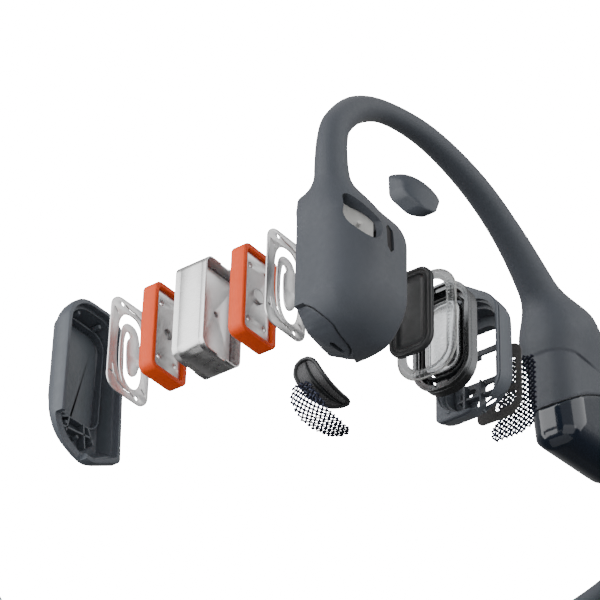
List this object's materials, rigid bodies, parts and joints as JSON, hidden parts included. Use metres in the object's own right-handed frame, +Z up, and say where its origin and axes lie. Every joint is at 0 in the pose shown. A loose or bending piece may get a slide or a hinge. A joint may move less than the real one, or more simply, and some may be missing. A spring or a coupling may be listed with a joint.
{
  "type": "bone conduction headphones",
  "caption": "Open-ear headphones with a neckband, ear hooks, bone and air drivers; the left ear unit is opened out along its assembly axes.",
  "frame": {"origin": "middle of the line joining the undersides of the two ear hooks' crowns, on the plane midway between the ear units", "axes": "+X to the wearer's left, +Y to the wearer's rear, +Z up"},
  "size_m": [0.1505, 0.1245, 0.0616],
  "materials": {
    "slate_skin": "soft-touch matte silicone over the shells, slate grey, faint sheen",
    "slate_cover": "fine-textured moulded plastic, bluish slate",
    "gloss_shell": "glossy navy-black moulded tray",
    "coil_orange": "orange lacquered winding",
    "bright_steel": "bright brushed and stamped steel",
    "spring_steel": "etched spring steel, pale and satin",
    "dark_steel": "blackened steel basket",
    "magnet_plating": "nickel-plated magnet",
    "black_polymer": "black moulded polymer",
    "clear_film": "clear embossed polymer film",
    "mesh_steel": "blue-black woven wire",
    "mesh_backing": "black adhesive-backed acoustic cloth",
    "white_plastic": "pale moulded carrier",
    "titanium": "springy alloy wire",
    "foil": "laminated pouch foil",
    "board": "green solder-masked board"
  },
  "bodies": {
    "neckband": {"neckband_sleeve": "slate_skin", "neckband_wire": "titanium"},
    "left_arm": {"left_housing": "slate_skin", "left_ear_hook": "slate_skin", "left_hook_wire": "titanium", "left_button_bracket": "white_plastic", "left_microphone": "black_polymer", "left_battery_upper": "slate_skin", "left_battery_lower": "gloss_shell", "left_battery_cell": "foil", "left_band_sleeve": "slate_skin", "left_band_wire": "titanium"},
    "left_cover_body": {"left_skin_cover": "slate_cover"},
    "left_spring_inner_body": {"left_spring_inner": "spring_steel"},
    "left_coil_inner_body": {"left_coil_inner": "coil_orange", "left_plate_inner": "bright_steel"},
    "left_magnet_body": {"left_magnet_case": "bright_steel", "left_magnet": "magnet_plating"},
    "left_coil_outer_body": {"left_coil_outer": "coil_orange", "left_plate_outer": "bright_steel"},
    "left_spring_outer_body": {"left_spring_outer": "spring_steel"},
    "left_diaphragm_body": {"left_speaker_diaphragm": "black_polymer"},
    "left_surround_body": {"left_speaker_surround": "clear_film"},
    "left_speaker_body": {"left_speaker_frame": "dark_steel", "left_speaker_magnet": "magnet_plating", "left_speaker_coil": "black_polymer"},
    "left_rear_cover_body": {"left_rear_cover": "slate_cover"},
    "left_outlet_pad_body": {"left_outlet_pad": "mesh_backing"},
    "left_outlet_grille_body": {"left_outlet_grille": "mesh_steel"},
    "left_membrane_body": {"left_vent_membrane": "mesh_backing"},
    "left_vent_grille_body": {"left_vent_grille": "mesh_steel"},
    "left_button_carrier": {"left_button_seal": "black_polymer"},
    "left_button_key": {"left_button_cap": "slate_cover"},
    "power_key": {"power_button": "gloss_shell"},
    "volume_key": {"volume_button": "gloss_shell"},
    "right_arm": {"right_housing": "slate_skin", "right_ear_hook": "slate_skin", "right_hook_wire": "titanium", "right_skin_cover": "slate_cover", "right_springs": "spring_steel", "right_coils": "coil_orange", "right_plates": "bright_steel", "right_magnet_case": "bright_steel", "right_magnet": "magnet_plating", "right_speaker_diaphragm": "black_polymer", "right_speaker_surround": "clear_film", "right_speaker_frame": "dark_steel", "right_speaker_magnet": "magnet_plating", "right_speaker_coil": "black_polymer", "right_rear_cover": "slate_cover", "right_mesh_backings": "mesh_backing", "right_wire_grilles": "mesh_steel", "right_microphone": "black_polymer", "right_battery_upper": "slate_skin", "right_battery_lower": "gloss_shell", "right_battery_cell": "foil", "right_circuit_board": "board", "charging_port": "bright_steel", "right_band_sleeve": "slate_skin", "right_band_wire": "titanium"}
  },
  "joints": [
    {"name": "left_arm_spread", "type": "hinge", "parent": "neckband", "child": "left_arm", "pos_m": [0.04054, 0.09404, -0.0226], "axis": [0, 0, 1], "range_deg": [-4, 10], "stiffness_Nm_per_rad": 0.45},
    {"name": "right_arm_spread", "type": "hinge", "parent": "neckband", "child": "right_arm", "pos_m": [-0.04054, 0.09404, -0.0226], "axis": [0, 0, -1], "range_deg": [-4, 10], "stiffness_Nm_per_rad": 0.45},
    {"name": "left_magnet_slide", "type": "slide", "parent": "left_arm", "child": "left_magnet_body", "axis": [1, 0, 0], "range_m": [0, 0.021]},
    {"name": "left_cover_slide", "type": "slide", "parent": "left_arm", "child": "left_cover_body", "axis": [1, 0, 0], "range_m": [0, 0.04168]},
    {"name": "left_spring_inner_slide", "type": "slide", "parent": "left_arm", "child": "left_spring_inner_body", "axis": [1, 0, 0], "range_m": [0, 0.0317]},
    {"name": "left_coil_inner_slide", "type": "slide", "parent": "left_arm", "child": "left_coil_inner_body", "axis": [1, 0, 0], "range_m": [0, 0.0266]},
    {"name": "left_coil_outer_slide", "type": "slide", "parent": "left_arm", "child": "left_coil_outer_body", "axis": [1, 0, 0], "range_m": [0, 0.0152]},
    {"name": "left_spring_outer_slide", "type": "slide", "parent": "left_arm", "child": "left_spring_outer_body", "axis": [1, 0, 0], "range_m": [0, 0.01095]},
    {"name": "left_speaker_slide", "type": "slide", "parent": "left_arm", "child": "left_speaker_body", "axis": [0, -1, 0], "range_m": [0, 0.0136]},
    {"name": "left_diaphragm_slide", "type": "slide", "parent": "left_arm", "child": "left_diaphragm_body", "axis": [0, -1, 0], "range_m": [0, 0.0084]},
    {"name": "left_surround_slide", "type": "slide", "parent": "left_arm", "child": "left_surround_body", "axis": [0, -1, 0], "range_m": [0, 0.0106]},
    {"name": "left_rear_cover_slide", "type": "slide", "parent": "left_arm", "child": "left_rear_cover_body", "axis": [0, -1, 0], "range_m": [0, 0.021]},
    {"name": "left_outlet_pad_slide", "type": "slide", "parent": "left_arm", "child": "left_outlet_pad_body", "axis": [0, -1, 0], "range_m": [0, 0.025]},
    {"name": "left_outlet_grille_slide", "type": "slide", "parent": "left_arm", "child": "left_outlet_grille_body", "axis": [0, -1, 0], "range_m": [0, 0.028]},
    {"name": "left_vent_grille_slide", "type": "slide", "parent": "left_arm", "child": "left_vent_grille_body", "axis": [0, 0, 1], "range_m": [0, 0.012]},
    {"name": "left_membrane_slide", "type": "slide", "parent": "left_arm", "child": "left_membrane_body", "axis": [0, 0, 1], "range_m": [0, 0.008]},
    {"name": "left_button_fit", "type": "slide", "parent": "left_arm", "child": "left_button_carrier", "axis": [-1, 0, 0], "range_m": [0, 0.009]},
    {"name": "left_button_press", "type": "slide", "parent": "left_button_carrier", "child": "left_button_key", "axis": [-1, 0, 0], "range_m": [0, 0.00025], "stiffness_N_per_m": 400},
    {"name": "power_press", "type": "slide", "parent": "right_arm", "child": "power_key", "axis": [0, 0, 1], "range_m": [0, 0.00025], "stiffness_N_per_m": 400},
    {"name": "volume_press", "type": "slide", "parent": "right_arm", "child": "volume_key", "axis": [0, 0, 1], "range_m": [0, 0.00025], "stiffness_N_per_m": 400}
  ],
  "couplings": [
    {"joint": "left_cover_slide", "follows": "left_magnet_slide", "ratio": 1.9848},
    {"joint": "left_spring_inner_slide", "follows": "left_magnet_slide", "ratio": 1.5095},
    {"joint": "left_coil_inner_slide", "follows": "left_magnet_slide", "ratio": 1.2667},
    {"joint": "left_coil_outer_slide", "follows": "left_magnet_slide", "ratio": 0.72381},
    {"joint": "left_spring_outer_slide", "follows": "left_magnet_slide", "ratio": 0.52143},
    {"joint": "left_diaphragm_slide", "follows": "left_speaker_slide", "ratio": 0.61765},
    {"joint": "left_surround_slide", "follows": "left_speaker_slide", "ratio": 0.77941},
    {"joint": "left_rear_cover_slide", "follows": "left_speaker_slide", "ratio": 1.5441},
    {"joint": "left_outlet_pad_slide", "follows": "left_speaker_slide", "ratio": 1.8382},
    {"joint": "left_outlet_grille_slide", "follows": "left_speaker_slide", "ratio": 2.0588},
    {"joint": "left_membrane_slide", "follows": "left_vent_grille_slide", "ratio": 0.66667}
  ]
}
